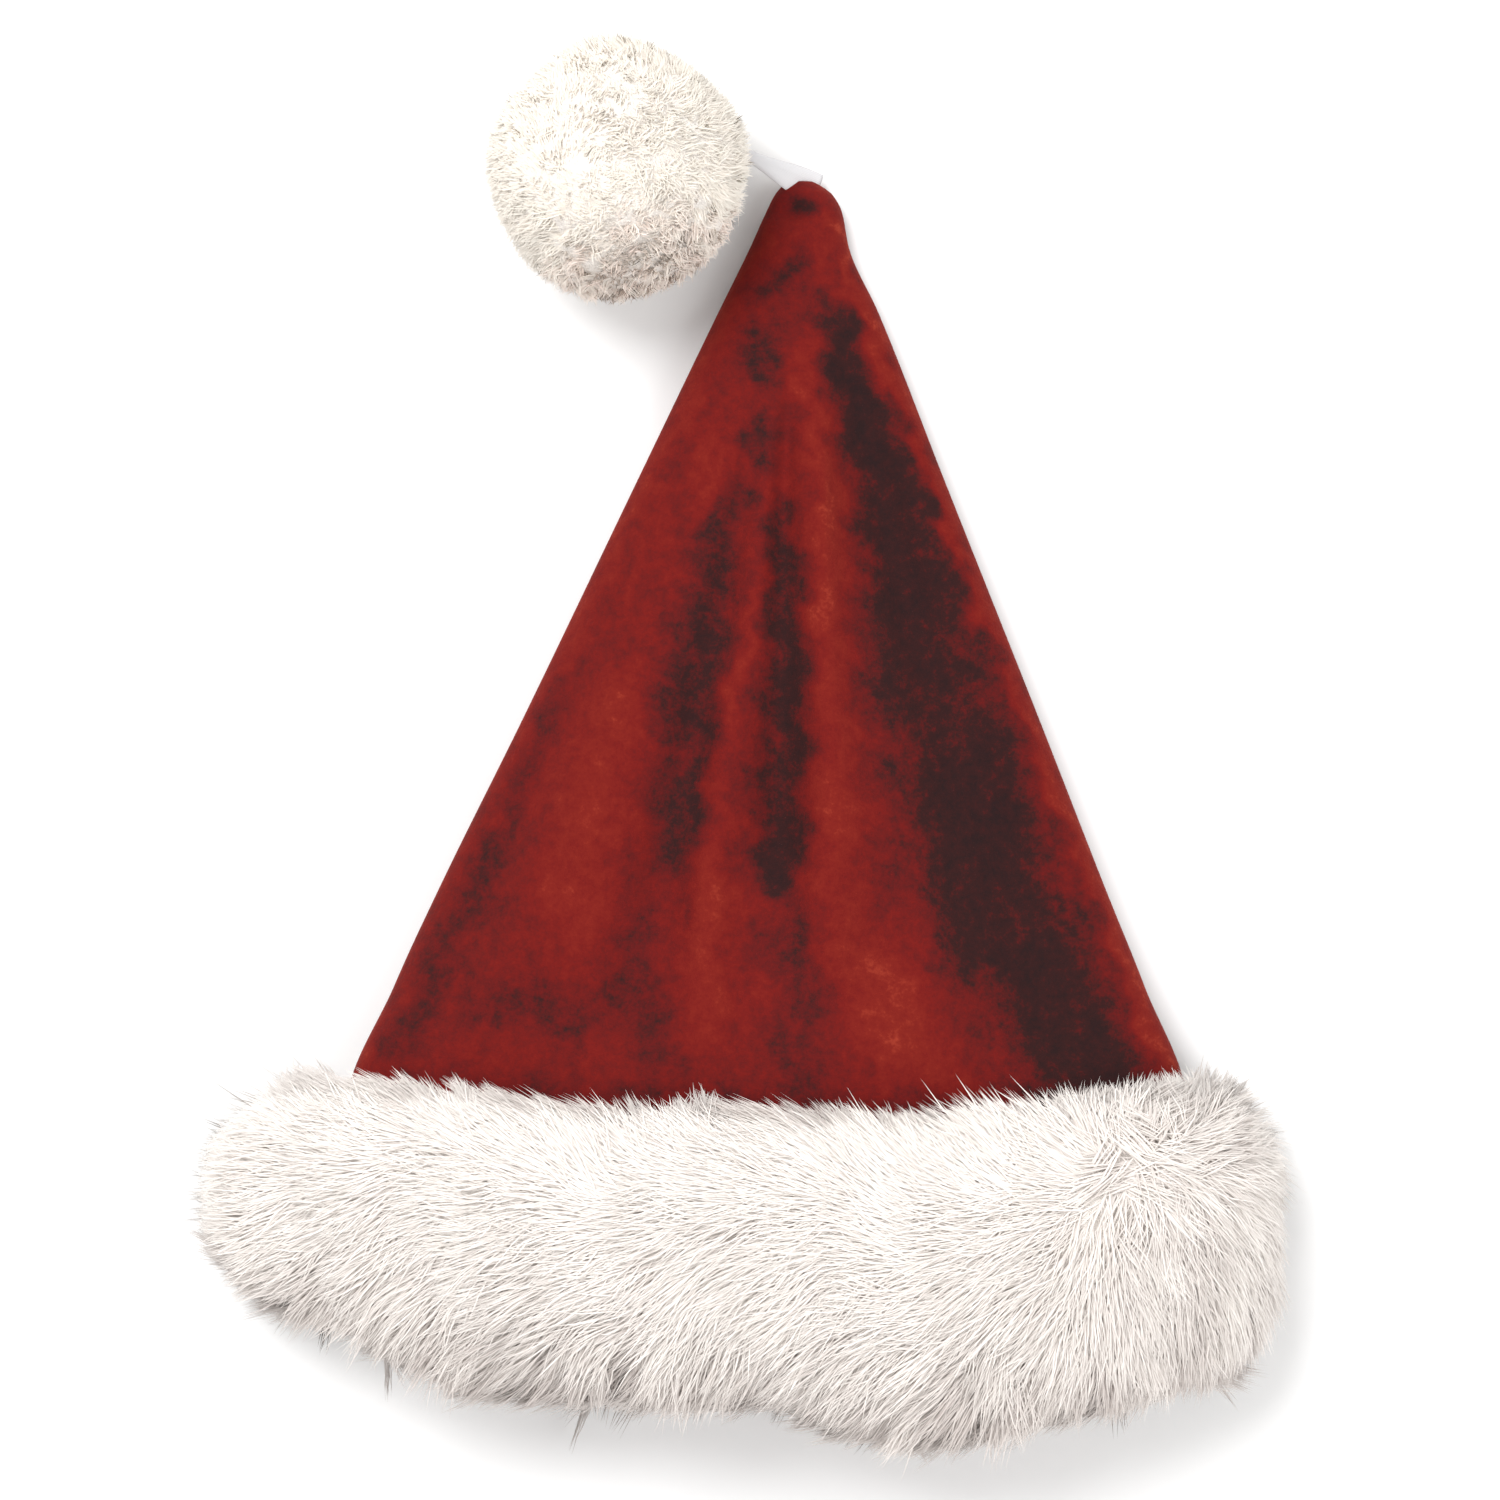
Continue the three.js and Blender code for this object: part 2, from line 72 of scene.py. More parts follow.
# The pompom and its tie.
POMPOM_WIDTH = 88.0
POMPOM_REST = 43.0
POMPOM_LEFT = 54.0
POMPOM_AHEAD = 2.0
TIE_WIDE = 12.0
TIE_NARROW = 4.0
TIE_THICK = 3.4
TIE_SEWN_IN = 7.0
TIE_IN_POMPOM = 10.0
TIE_LOW_EDGE = 0.11  # how high the tie leaves the tip, as a share of the crown's depth
TIE_ENTRY = (0.9, 0.22, -0.36)  # where it meets the pompom, seen from the pompom's middle
TIE_SAG = 1.0
TIE_CREASE = 1.1

# The strands of fur.
LOOSE_FUR = 8.0  # how deep the strands lie loose in wisps
SMOOTH_FUR = 3.6  # and how deep in the smooth middle
ROOTS_BELOW = 1.6  # the close fur's surface
CLEAR_OF_PLUSH = 0.4
CLEAR_OF_TABLE = 0.2
FUR_START = 0.02  # where over the cuff's section the roots start
FUR_SPAN = 0.975
RIM_FUR = 1.5  # how many more clumps grow round the mouth
SPARSE_UNDER = 0.3  # the share of the clumps that grows on the underside
UPWARD = 0.35  # how much a strand's normal turns up, since fur passes light on
LEAST_UP = 0.3
STRAND_STEPS = 3
PLUSH_HEIGHT = 5.0  # how far the pompom's plush stands
UP = np.array([0.0, 0.0, 1.0])


def table(columns, *rows):
    """A table with named columns, each as an array."""
    return dict(zip(columns.split(), np.array(rows, float).T))


CROWN_SECTIONS = table(
    "along left right depth lift",
    (0.0, 0.98, 0.98, 0.96, 1.0),
    (0.12, 1.0, 1.0, 1.0, 1.0),
    (0.23, 1.01, 1.01, 1.04, 0.8),
    (0.33, 0.898, 0.909, 1.12, 0.2),
    (0.41, 0.792, 0.817, 1.06, 0.0),
    (0.55, 0.592, 0.659, 0.93, 0.0),
    (0.75, 0.314, 0.43, 0.7, 0.0),
    (0.89, 0.119, 0.271, 0.52, 0.0),
    (0.945, 0.041, 0.199, 0.44, 0.0),
    (0.975, 0.002, 0.182, 0.4, 0.0),
    (0.99, -0.02, 0.158, 0.34, 0.02),
    (1.0, -0.045, 0.118, 0.22, 0.1),
)

# Folds of the upper layer: left hollow, left mound, left furrow, narrow ridge, middle furrow,
# middle ridge, right mound, right hollow and right roll.
CROWN_FOLDS = table(
    "low high start end width height",
    (0.2, 0.62, -0.87, -0.84, 0.07, -0.05),
    (0.3, 0.66, -0.6, -0.6, 0.2, 0.1),
    (0.24, 0.82, -0.36, -0.28, 0.1, -0.11),
    (0.22, 0.6, -0.14, -0.23, 0.07, 0.06),
    (0.38, 0.86, 0.03, -0.06, 0.085, -0.15),
    (0.3, 0.84, 0.17, 0.2, 0.09, 0.11),
    (0.2, 0.36, 0.3, 0.24, 0.2, 0.08),
    (0.22, 0.92, 0.8, 0.45, 0.23, -0.22),
    (0.26, 0.9, 0.97, 0.93, 0.06, 0.05),
)
FOLD_FADE = 0.1

# Strokes where the tone is light (above 0) or dark, seen from above: partly the lie of the pile, and
# partly painted shade in folds and hollows, a painted shadow of the fur and painted sheen highlights on
# the rims. Each is a tone, and a line of places (across, up from the mouth, half-width) in mm.
PILE_AND_PAINTED_LIGHT_MARKS = {
    # Painted shade in the hollow that slopes away from the light, over the pile's own tone.
    "right hollow": (
        -1.15,
        [
            (25, 384, 7.2),
            (31, 357, 9.7),
            (43, 330, 13.0),
            (49, 309, 16.6),
            (58, 259, 23.8),
            (71, 220, 25.9),
            (80, 180, 27.4),
            (93, 155, 25.9),
            (108, 124, 21.6),
            (124, 108, 14.4),
        ],
    ),
    "hollow's upper end": (-0.35, [(31, 362, 5.8), (34, 347, 6.5)]),
    "middle furrow": (
        -0.95,
        [(4, 319, 5.0), (6, 297, 7.2), (8, 269, 9.4), (6, 232, 10.1), (5, 190, 9.4), (5, 182, 6.5)],
    ),
    "blotch by the tip": (-0.8, [(-3, 377, 5.8), (-2, 367, 6.5)]),
    "blotch above the furrow": (-0.85, [(-2, 344, 6.5), (-3, 335, 6.5)]),
    "left furrow": (
        -0.8,
        [
            (-10, 319, 6.5),
            (-20, 297, 8.6),
            (-23, 268, 12.2),
            (-28, 247, 14.4),
            (-31, 211, 13.0),
            (-33, 193, 8.6),
        ],
    ),
    "lower furrow": (-0.5, [(-46, 164, 5.8), (-40, 121, 7.2)]),
    "narrow ridge": (
        0.6,
        [
            (-2, 287, 2.2),
            (-8, 265, 2.9),
            (-14, 236, 3.2),
            (-19, 208, 5.0),
            (-22, 175, 7.2),
            (-23, 151, 7.9),
            (-20, 128, 7.9),
        ],
    ),
    "middle ridge": (
        0.65,
        [
            (13, 372, 5.8),
            (15, 347, 4.3),
            (23, 319, 5.8),
            (21, 268, 7.2),
            (24, 225, 8.6),
            (24, 190, 9.4),
            (27, 168, 10.1),
            (41, 141, 13.7),
            (57, 117, 13.0),
        ],
    ),
    "left mound": (0.5, [(-52, 250, 12.2), (-59, 218, 15.8), (-66, 193, 15.1), (-75, 171, 14.4)]),
    "left shade": (
        -0.5,
        [(-75, 250, 5.0), (-89, 221, 7.2), (-100, 200, 8.6), (-118, 153, 9.4), (-132, 124, 9.4)],
    ),
    "lower left": (-0.6, [(-57, 142, 10.8), (-75, 135, 10.8), (-91, 139, 8.6)]),
    "lower middle": (-0.5, [(6, 164, 10.8), (8, 139, 8.6), (8, 113, 7.2)]),
    # Painted sheen highlight along the left rim.
    "left rim": (
        0.5,
        [(0, 418, 2.9), (-24, 366, 3.6), (-74, 263, 4.0), (-113, 180, 4.3), (-147, 112, 5.0)],
    ),
    # Painted sheen highlight along the right rim.
    "right rim": (
        0.85,
        [(26, 418, 2.9), (31, 400, 2.9), (37, 385, 3.2), (80, 278, 3.2), (117, 185, 3.6), (145, 114, 4.0)],
    ),
    "below the dimple": (-0.6, [(12, 407, 4.3), (3, 397, 5.0)]),
    "upper mound": (0.35, [(-18, 335, 5.0), (-20, 326, 5.0)]),
    "tip": (0.35, [(16, 432, 8.0), (20, 412, 8.0)]),
    # Painted shadow of the fur on the crown, just above the cuff.
    "above the fur": (
        -0.35,
        [(-132, 112, 5.0), (-75, 104, 5.8), (12, 101, 5.0), (84, 104, 5.0), (138, 106, 5.0)],
    ),
}

CUFF_SECTIONS = table(
    "across rim brow",
    (-1.0, 0.28, 1.06),
    (-0.83, 0.13, 1.05),
    (-0.66, 0.03, 1.02),
    (-0.3, 0.0, 0.96),
    (0.02, -0.01, 0.97),
    (0.16, -0.09, 0.95),
    (0.36, -0.15, 0.93),
    (0.65, -0.07, 0.98),
    (1.0, 0.04, 1.04),
)

# Coats of fur on the cuff, from the lowest. A clump's strands have a length and a spread, stand
# away from the cuff, and draw together. brow is how many more clumps grow at the upper edge.
FUR_COATS = table(
    "seed clumps each length spread stand draw brow",
    (11, 3100, 12, 23.0, 5.0, 6.8, 0.6, 0.0),
    (12, 2500, 15, 25.0, 4.6, 8.2, 0.45, 1.0),
    (13, 1700, 22, 28.0, 4.2, 9.4, 0.35, 4.0),
)


def column(rows, key, name, at):
    """A column of a table at a key: a cubic between rows, whose slope at a row is the harmonic
    mean of the slopes on its two sides, or 0 where they differ in sign."""
    keys, values = rows[key], rows[name]
    x = np.clip(at, keys[0], keys[-1])
    i = np.clip(np.searchsorted(keys, x, side="right") - 1, 0, len(keys) - 2)
    slope = np.diff(values) / np.diff(keys)
    before, after = slope[:-1], slope[1:]
    product = before * after
    inner = np.where(product > 0, 2 * product / np.where(before + after == 0, 1, before + after), 0)
    tangent = np.concatenate([slope[:1], inner, slope[-1:]])
    step = keys[i + 1] - keys[i]
    u = (x - keys[i]) / step
    return (
        values[i] * (2 * u**3 - 3 * u**2 + 1)
        + values[i + 1] * (3 * u**2 - 2 * u**3)
        + step * (tangent[i] * (u**3 - 2 * u**2 + u) + tangent[i + 1] * (u**3 - u**2))
    )


def ease(x):
    """0 below 0, 1 above 1 and the smooth step 3x² - 2x³ between."""
    x = np.clip(x, 0, 1)
    return x * x * (3 - 2 * x)


def mixed(a, b, share):
    """a at a share of 0, b at 1 and in proportion between."""
    return a + (b - a) * share


def unit(v):
    """Vectors at length 1."""
    return v / np.maximum(np.linalg.norm(v, axis=-1, keepdims=True), 1e-9)


def stacked(x, y, z):
    """Coordinates as an array of points."""
    return np.stack(np.broadcast_arrays(x, y, z), axis=-1).astype(float)


def crown_column(name, along):
    """A column of the crown's sections, at a share of its length."""
    return column(CROWN_SECTIONS, "along", name, along)


def cuff_column(name, across):
    """An edge of the cuff in mm, at a share of half the mouth's width."""
    return column(CUFF_SECTIONS, "across", name, across) * CUFF_HEIGHT


TIP_MIDDLE = (crown_column("right", 0.975) - crown_column("left", 0.975)) * MOUTH_WIDTH / 4


def fold_height(across, along):
    """The sum of bells across the crown, each fading in and out along it."""
    total = 0.0
    for low, high, start, end, width, height in zip(*CROWN_FOLDS.values()):
        fade = ease((along - low) / FOLD_FADE) * ease((high - along) / FOLD_FADE)
        middle = mixed(start, end, np.clip((along - low) / (high - low), 0, 1))
        total = total + height * fade * np.exp(-(((across - middle) / width) ** 2))
    return total


def pile_and_painted_light_tone(x, y):
    """The sum of the marks. A mark's tone falls off as exp(-(distance / half-width)³) from its
    line, and waves of a few mm make its edges uneven. The tip's dimple is an oval of painted shade."""
    shade = DIMPLE_SHADE
    dimple = ((x - TIP_MIDDLE - shade["across"]) / shade["width"]) ** 2
    dimple = dimple + ((y - CROWN_LENGTH + shade["back"]) / shade["length"]) ** 2
    x, y = (
        x + 2.2 * np.sin(0.21 * y + 0.6 * np.sin(0.13 * x)) + 1.3 * np.sin(0.47 * y + 0.22 * x),
        y + 2.6 * np.sin(0.19 * x + 1.0) + 1.5 * np.sin(0.43 * x - 0.2 * y),
    )
    total = shade["tone"] * np.exp(-(dimple**1.5))
    for tone, line in PILE_AND_PAINTED_LIGHT_MARKS.values():
        strength = np.zeros_like(x)
        for (x0, y0, w0), (x1, y1, w1) in zip(line[:-1], line[1:]):
            length = (x1 - x0) ** 2 + (y1 - y0) ** 2
            share = np.clip(((x - x0) * (x1 - x0) + (y - y0) * (y1 - y0)) / length, 0, 1)
            distance = np.hypot(x - mixed(x0, x1, share), y - mixed(y0, y1, share))
            strength = np.maximum(strength, np.exp(-((distance / mixed(w0, w1, share)) ** 3)))
        total = total + tone * strength
    return total


def ripples(x, y):
    """Slight waves of the plush, as a sum of a few sines, in mm."""
    return (
        0.5 * np.sin(0.071 * x + 0.023 * y + 1.0)
        + 0.4 * np.sin(0.113 * x - 0.041 * y)
        + 0.28 * np.sin(0.19 * x + 0.087 * y + 2.0)
        + 0.2 * np.sin(0.052 * y + 0.31 * x)
    )


def crown_point(along, angle, inset=0.0):
    """A section is a flattened arch over a flat underside. It spans left to right by the cosine of
    angle, rises by the sine to the power 0.9, and sags to the table below with the sine's root."""
    across = np.cos(angle)
    slant = (cuff_column("rim", across) + HEM) * (1 - ease(along / CUFF_TOP))
    y = along * CROWN_LENGTH + slant
    left = -crown_column("left", along) * MOUTH_WIDTH / 2 + inset
    right = crown_column("right", along) * MOUTH_WIDTH / 2 - inset
    table_height = crown_column("lift", along) * FUR_UNDER
    depth = crown_column("depth", along) * CROWN_DEPTH
    side = table_height + depth * FOLD_AT_SIDES
    x = (left + right) / 2 + (right - left) / 2 * across
    height = np.abs(np.sin(angle))
    dent = ((x - TIP_MIDDLE - DIMPLE["across"]) / DIMPLE["width"]) ** 2
    dent = dent + ((y - CROWN_LENGTH + DIMPLE["back"]) / DIMPLE["length"]) ** 2
    dent = DIMPLE["depth"] * np.exp(-2 * dent)
    arch = 1 - across**6
    folds = fold_height(across, along) * depth * arch - dent
    folds = folds + ripples(x, y) * arch * ease((1 - along) / 0.1)
    upper = side + (depth * (1 - FOLD_AT_SIDES) - inset) * height**0.9 + folds
    sag = (depth * FOLD_AT_SIDES + 0.8) * height**0.5
    lower = np.maximum(table_height + inset, side - sag + inset)
    return stacked(x, y, np.where(np.sin(angle) >= 0, upper, lower))


def fur_depth(out):
    """How deep the fur is in the direction out: its depths sideways and upright, each times the
    square of that part of out."""
    sideways = np.where(out[..., 0] < 0, FUR_LEFT, FUR_RIGHT)
    upright = np.where(out[..., 2] > 0, FUR_ABOVE, FUR_UNDER * 1.25)
    return sideways * out[..., 0] ** 2 + upright * out[..., 2] ** 2


def fur_lumps(angle, over):
    """Three waves round the cuff and over it, in mm."""
    return (
        1.6 * np.sin(3 * angle + 5 * over)
        + 1.3 * np.sin(7 * angle - 4 * over)
        + 0.9 * np.sin(11 * angle + 9 * over)
    )


def fur_point(angle, over):
    """A rolled ring: round the crown's section by angle, and over it from the upper edge to the
    lower one along a superellipse of exponent CUFF_ROUNDNESS."""
    base = crown_point(CUFF_MIDDLE, angle)
    ahead = crown_point(CUFF_MIDDLE, angle + 0.02) - crown_point(CUFF_MIDDLE, angle - 0.02)
    out = unit(stacked(ahead[..., 2], 0.0, -ahead[..., 0]))
    across = np.clip(2 * base[..., 0] / MOUTH_WIDTH, -1, 1)
    rim, brow = cuff_column("rim", across), cuff_column("brow", across)
    turn = np.pi * over
    rolled = np.abs(np.sin(turn)) ** (2 / CUFF_ROUNDNESS)
    lengthwise = np.sign(np.cos(turn)) * np.abs(np.cos(turn)) ** (2 / CUFF_ROUNDNESS)
    point = base + out * (rolled * (fur_depth(out) + fur_lumps(angle, over)))[..., None]
    point[..., 1] = (brow + rim) / 2 + (brow - rim) / 2 * lengthwise
    point[..., 2] = np.maximum(point[..., 2], 0)
    return point


def fur_normal(angle, over):
    """The cross product of the surface's two directions."""
    round_it = fur_point(angle + 0.03, over) - fur_point(angle - 0.03, over)
    down = fur_point(angle, over + 0.03) - fur_point(angle, over - 0.03)
    return unit(np.cross(round_it, down))


# Into the frame: the crown's box gives where the layout lies.
crown_low, crown_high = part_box("crown")
LAYOUT = np.array([(crown_low.x + crown_high.x) / 2, crown_high.y - CROWN_LENGTH / 1000, 0.0])


def placed(points):
    """Layout millimetres as metres in the frame."""
    return points / 1000 + LAYOUT


def mesh_piece(
    name,
    points,
    faces,
    materials,
    slot,
    replaces=(),
    layers=None,
    face_finish=None,
    normals=None,
):
    """One object from points in layout millimetres. faces is a list of index arrays with 3 or 4
    columns. layers are point attributes, face_finish the finish's number for each face, and
    normals the points' own ones."""
    mesh = bpy.data.meshes.new(name)
    flat = placed(points.reshape(-1, 3)).astype(np.float32)
    corners = np.concatenate([f.ravel() for f in faces]).astype(np.int32)
    sizes = np.concatenate([np.full(len(f), f.shape[1]) for f in faces])
    starts = np.concatenate([[0], np.cumsum(sizes)[:-1]]).astype(np.int32)
    mesh.vertices.add(len(flat))
    mesh.vertices.foreach_set("co", flat.ravel())
    mesh.loops.add(len(corners))
    mesh.loops.foreach_set("vertex_index", corners)
    mesh.polygons.add(len(sizes))
    mesh.polygons.foreach_set("loop_start", starts)
    mesh.update(calc_edges=True)
    mesh.polygons.foreach_set("use_smooth", np.ones(len(sizes), bool))
    if face_finish is not None:
        mesh.polygons.foreach_set("material_index", face_finish.astype(np.int32))
    for layer, values in (layers or {}).items():
        attribute = mesh.attributes.new(layer, "FLOAT", "POINT")
        attribute.data.foreach_set("value", values.astype(np.float32).ravel())
    for material in materials:
        mesh.materials.append(material)
    if normals is not None:
        mesh.normals_split_custom_set_from_vertices(normals.reshape(-1, 3).tolist())
    piece = bpy.data.objects.new(name, mesh)
    bpy.context.scene.collection.objects.link(piece)
    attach(piece, "root")
    if replaces:
        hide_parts(*replaces)
    return piece


def grid_faces(rows, columns):
    """Quads over a grid of points, row by row, each row joined round into a ring."""
    r = np.arange(rows - 1)[:, None]
    c = np.arange(columns)[None, :]
    after = (c + 1) % columns
    quads = [r * columns + c, r * columns + after, (r + 1) * columns + after, (r + 1) * columns + c]
    return np.stack(np.broadcast_arrays(*quads), -1).reshape(-1, 4)


def fan(centre, ring, turned=False):
    """Triangles from a centre to a closed ring of points."""
    after = np.roll(ring, -1)
    sides = (after, ring) if turned else (ring, after)
    return np.stack([np.full(len(ring), centre), *sides], -1)


class Value:
    """A number in a finish. Arithmetic on it adds Math nodes."""

    def __init__(self, finish, socket):
        self.finish = finish
        self.socket = socket

    def calculated(self, operation, *numbers):
        inputs = dict(enumerate(numbers))
        return self.finish.node("ShaderNodeMath", {"operation": operation}, inputs)

    def __add__(self, other):
        return self.calculated("ADD", self, other)

    def __sub__(self, other):
        return self.calculated("SUBTRACT", self, other)

    def __rsub__(self, other):
        return self.calculated("SUBTRACT", other, self)

    def __mul__(self, other):
        return self.calculated("MULTIPLY", self, other)

    __radd__ = __add__
    __rmul__ = __mul__


class Finish:
    """A material with one Principled surface."""

    def __init__(self, name, **constants):
        self.material = bpy.data.materials.new(name)
        self.material.use_nodes = True
        self.tree = self.material.node_tree
        self.surface = self.tree.nodes["Principled BSDF"]
        for socket, value in constants.items():
            self.surface.inputs[socket.replace("_", " ")].default_value = value

    def node(self, kind, settings=None, inputs=None, output=0):
        """Any node. Its settings come first, and stops fill a ramp."""
        node = self.tree.nodes.new(kind)
        for name, value in (settings or {}).items():
            if name == "stops":
                ramp = node.color_ramp
                while len(ramp.elements) < len(value):
                    ramp.elements.new(0.5)
                for stop, (place, colour) in zip(ramp.elements, value):
                    stop.position = place
                    stop.color = colour
            else:
                setattr(node, name, value)
        for name, value in (inputs or {}).items():
            self.put(node.inputs[name], value)
        return Value(self, node.outputs[output])

    def put(self, socket, value):
        """A link where the value comes from a node, and else a constant."""
        if isinstance(value, Value):
            self.tree.links.new(value.socket, socket)
        else:
            socket.default_value = value

    def set(self, **values):
        """The surface's own sockets."""
        for name, value in values.items():
            self.put(self.surface.inputs[name.replace("_", " ")], value)

    def place(self, stretch=(1, 1, 1), turn=0.0):
        """The object's own coordinates in metres, turned about Z and stretched."""
        coordinates = self.node("ShaderNodeTexCoord", output="Object")
        inputs = {"Vector": coordinates, "Scale": stretch, "Rotation": (0, 0, turn)}
        return self.node("ShaderNodeMapping", {}, inputs)

    def noise(self, scale, detail=3.0, roughness=0.5, vector=None, distortion=0.0):
        inputs = {
            "Vector": vector or self.place(),
            "Scale": scale,
            "Detail": detail,
            "Roughness": roughness,
            "Distortion": distortion,
        }
        return self.node("ShaderNodeTexNoise", {}, inputs)

    def layer(self, name):
        """One of the mesh's point attributes."""
        return self.node("ShaderNodeAttribute", {"attribute_name": name}, output="Fac")

    def ramp(self, factor, *stops):
        """A colour from stops, each a place and a colour."""
        return self.node("ShaderNodeValToRGB", {"stops": stops}, {"Fac": factor})

    def mix(self, factor, a, b):
        """A colour between a and b. 6, 7 and output 2 are the node's colour sockets."""
        return self.node("ShaderNodeMix", {"data_type": "RGBA"}, {0: factor, 6: a, 7: b}, output=2)

    def bump(self, height, strength, distance):
        inputs = {"Height": height, "Strength": strength, "Distance": distance}
        return self.node("ShaderNodeBump", {}, inputs)


def colour(red, green, blue):
    """A screen colour, 0 to 255, as a linear one."""
    shares = np.array([red, green, blue]) / 255
    linear = np.where(shares <= 0.04045, shares / 12.92, ((shares + 0.055) / 1.055) ** 2.4)
    return (*linear.tolist(), 1.0)


def velour_finish():
    """Crushed velour: its tone is partly the lie of the pile and partly painted shade and painted sheen
    highlights, with soft mottling and a fine grain."""
    finish = Finish(
        "red_velour",
        Roughness=0.92,
        Specular_IOR_Level=0.15,
        Sheen_Weight=0.12,
        Sheen_Roughness=0.45,
        Sheen_Tint=colour(255, 110, 80),
    )
    brushed = finish.place(stretch=(1.0, 0.6, 1.0), turn=0.1)
    blotches = finish.noise(30.0, detail=2.0, vector=brushed, distortion=0.5)
    patches = finish.noise(80.0, detail=3.0, vector=brushed, distortion=0.8)
    specks = finish.noise(240.0, detail=2.0, roughness=0.6)
    grain = finish.noise(900.0, detail=2.0, roughness=0.7)
    tone = finish.layer("tone")
    for noise, strength in ((blotches, 1.0), (patches, 1.2), (specks, 1.5), (grain, 1.0)):
        tone = tone + (noise - 0.5) * strength
    finish.set(
        Base_Color=finish.ramp(
            tone * 0.33 + 0.52,
            (0.0, colour(36, 21, 22)),
            (0.2, colour(49, 22, 22)),
            (0.4, colour(88, 19, 19)),
            (0.6, colour(107, 20, 17)),
            (0.8, colour(117, 28, 20)),
            (1.0, colour(144, 50, 34)),
        ),
        Normal=finish.bump(patches * 0.6 + specks * 0.4 + grain * 0.3, 0.6, 0.0012),
    )
    return finish.material


def backing_finish():
    """The knitted back of the velour, with fine ribs."""
    finish = Finish("velour_back", Roughness=0.9, Specular_IOR_Level=0.1)
    ribs = finish.node(
        "ShaderNodeTexWave",
        {"wave_type": "BANDS", "bands_direction": "X"},
        {"Vector": finish.place(), "Scale": 300.0, "Distortion": 1.5, "Detail": 1.0},
    )
    fleck = finish.noise(400.0, detail=2.0)
    finish.set(
        Base_Color=finish.mix(ribs * 0.5 + fleck * 0.4, colour(104, 26, 24), colour(136, 40, 34)),
        Normal=finish.bump(ribs, 0.3, 0.0004),
    )
    return finish.material


def strand_finish(name, root, tip, shade):
    """Fur: each strand pales from its root to its tip, and its tone mixes it towards the shade colour:
    partly a random tone of its own and partly painted shade.
    """
    finish = Finish(
        name,
        Roughness=0.75,
        Specular_IOR_Level=0.2,
        Sheen_Weight=0.1,
        Sheen_Roughness=0.5,
    )
    body = finish.mix(finish.layer("along_strand"), root, tip)
    finish.set(Base_Color=finish.mix(finish.layer("tone"), body, shade))
    return finish.material


def under_fur_finish(name, base, shade):
    """The close fur under the strands."""
    finish = Finish(name, Roughness=0.9, Specular_IOR_Level=0.1)
    clouds = finish.noise(60.0, detail=3.0)
    fuzz = finish.noise(700.0, detail=3.0, roughness=0.7)
    finish.set(Base_Color=finish.mix(clouds, base, shade), Normal=finish.bump(fuzz, 0.8, 0.0015))
    return finish.material


def ribbon_finish():
    """Satin ribbon with fine threads along it."""
    finish = Finish("white_ribbon", Roughness=0.45, Specular_IOR_Level=0.4, Sheen_Weight=0.1)
    across = finish.layer("across_ribbon")
    threads = finish.node("ShaderNodeMath", {"operation": "SINE"}, {0: across * 60.0})
    finish.set(
        Base_Color=finish.mix(threads * 0.25 + 0.3, colour(222, 221, 222), colour(180, 179, 184)),
        Normal=finish.bump(threads, 0.25, 0.0003),
    )
    return finish.material


def crown_piece(finishes):
    """The crown's outer face and its inner one, as one closed wall: rings from the tip to the
    mouth, and back in to the hollow's end."""
    upper, lower = 180, 70
    around = upper + lower
    shares = [np.linspace(0, 1, count, endpoint=False) for count in (upper, lower)]
    spread = [0.4 * s * np.pi + 0.6 * np.arccos(1 - 2 * s) for s in shares]
    angles = np.concatenate([spread[0], np.pi + spread[1]])
    outer_rings, inner_rings = 320, 24
    outer_along = 1 - np.linspace(0, 1, outer_rings) ** 0.92
    inner_along = np.linspace(0, HOLLOW_LENGTH / CROWN_LENGTH, inner_rings)
    outer = crown_point(outer_along[:, None], angles[None, :])
    inner = crown_point(inner_along[:, None], angles[None, :], PLUSH_WALL)
    ends = np.stack([outer[0].mean(0), inner[-1].mean(0)])
    points = np.concatenate([outer.reshape(-1, 3), inner.reshape(-1, 3), ends])
    rows = outer_rings + inner_rings
    last = rows * around
    quads = grid_faces(rows, around)[:, ::-1]
    tip = fan(last, np.arange(around))
    hollow_end = fan(last + 1, np.arange(around) + (rows - 1) * around, turned=True)
    # The marks' tone holds painted shade and highlights. Painted shade: the underside is darker.
    underside_painted_shade = -0.3
    pile = pile_and_painted_light_tone(outer[..., 0], outer[..., 1])
    seen = np.where(np.sin(angles)[None, :] >= 0, pile, underside_painted_shade)
    tone = np.concatenate([seen.ravel(), np.zeros(inner_rings * around + 2)])
    inside_wall = np.arange(len(quads)) >= outer_rings * around
    inside = np.concatenate([inside_wall, np.zeros(around), np.ones(around)])
    return mesh_piece(
        "velour_crown",
        points,
        [quads, tip, hollow_end],
        finishes,
        "red_velour",
        replaces=["crown"],
        layers={"tone": tone},
        face_finish=inside,
    )


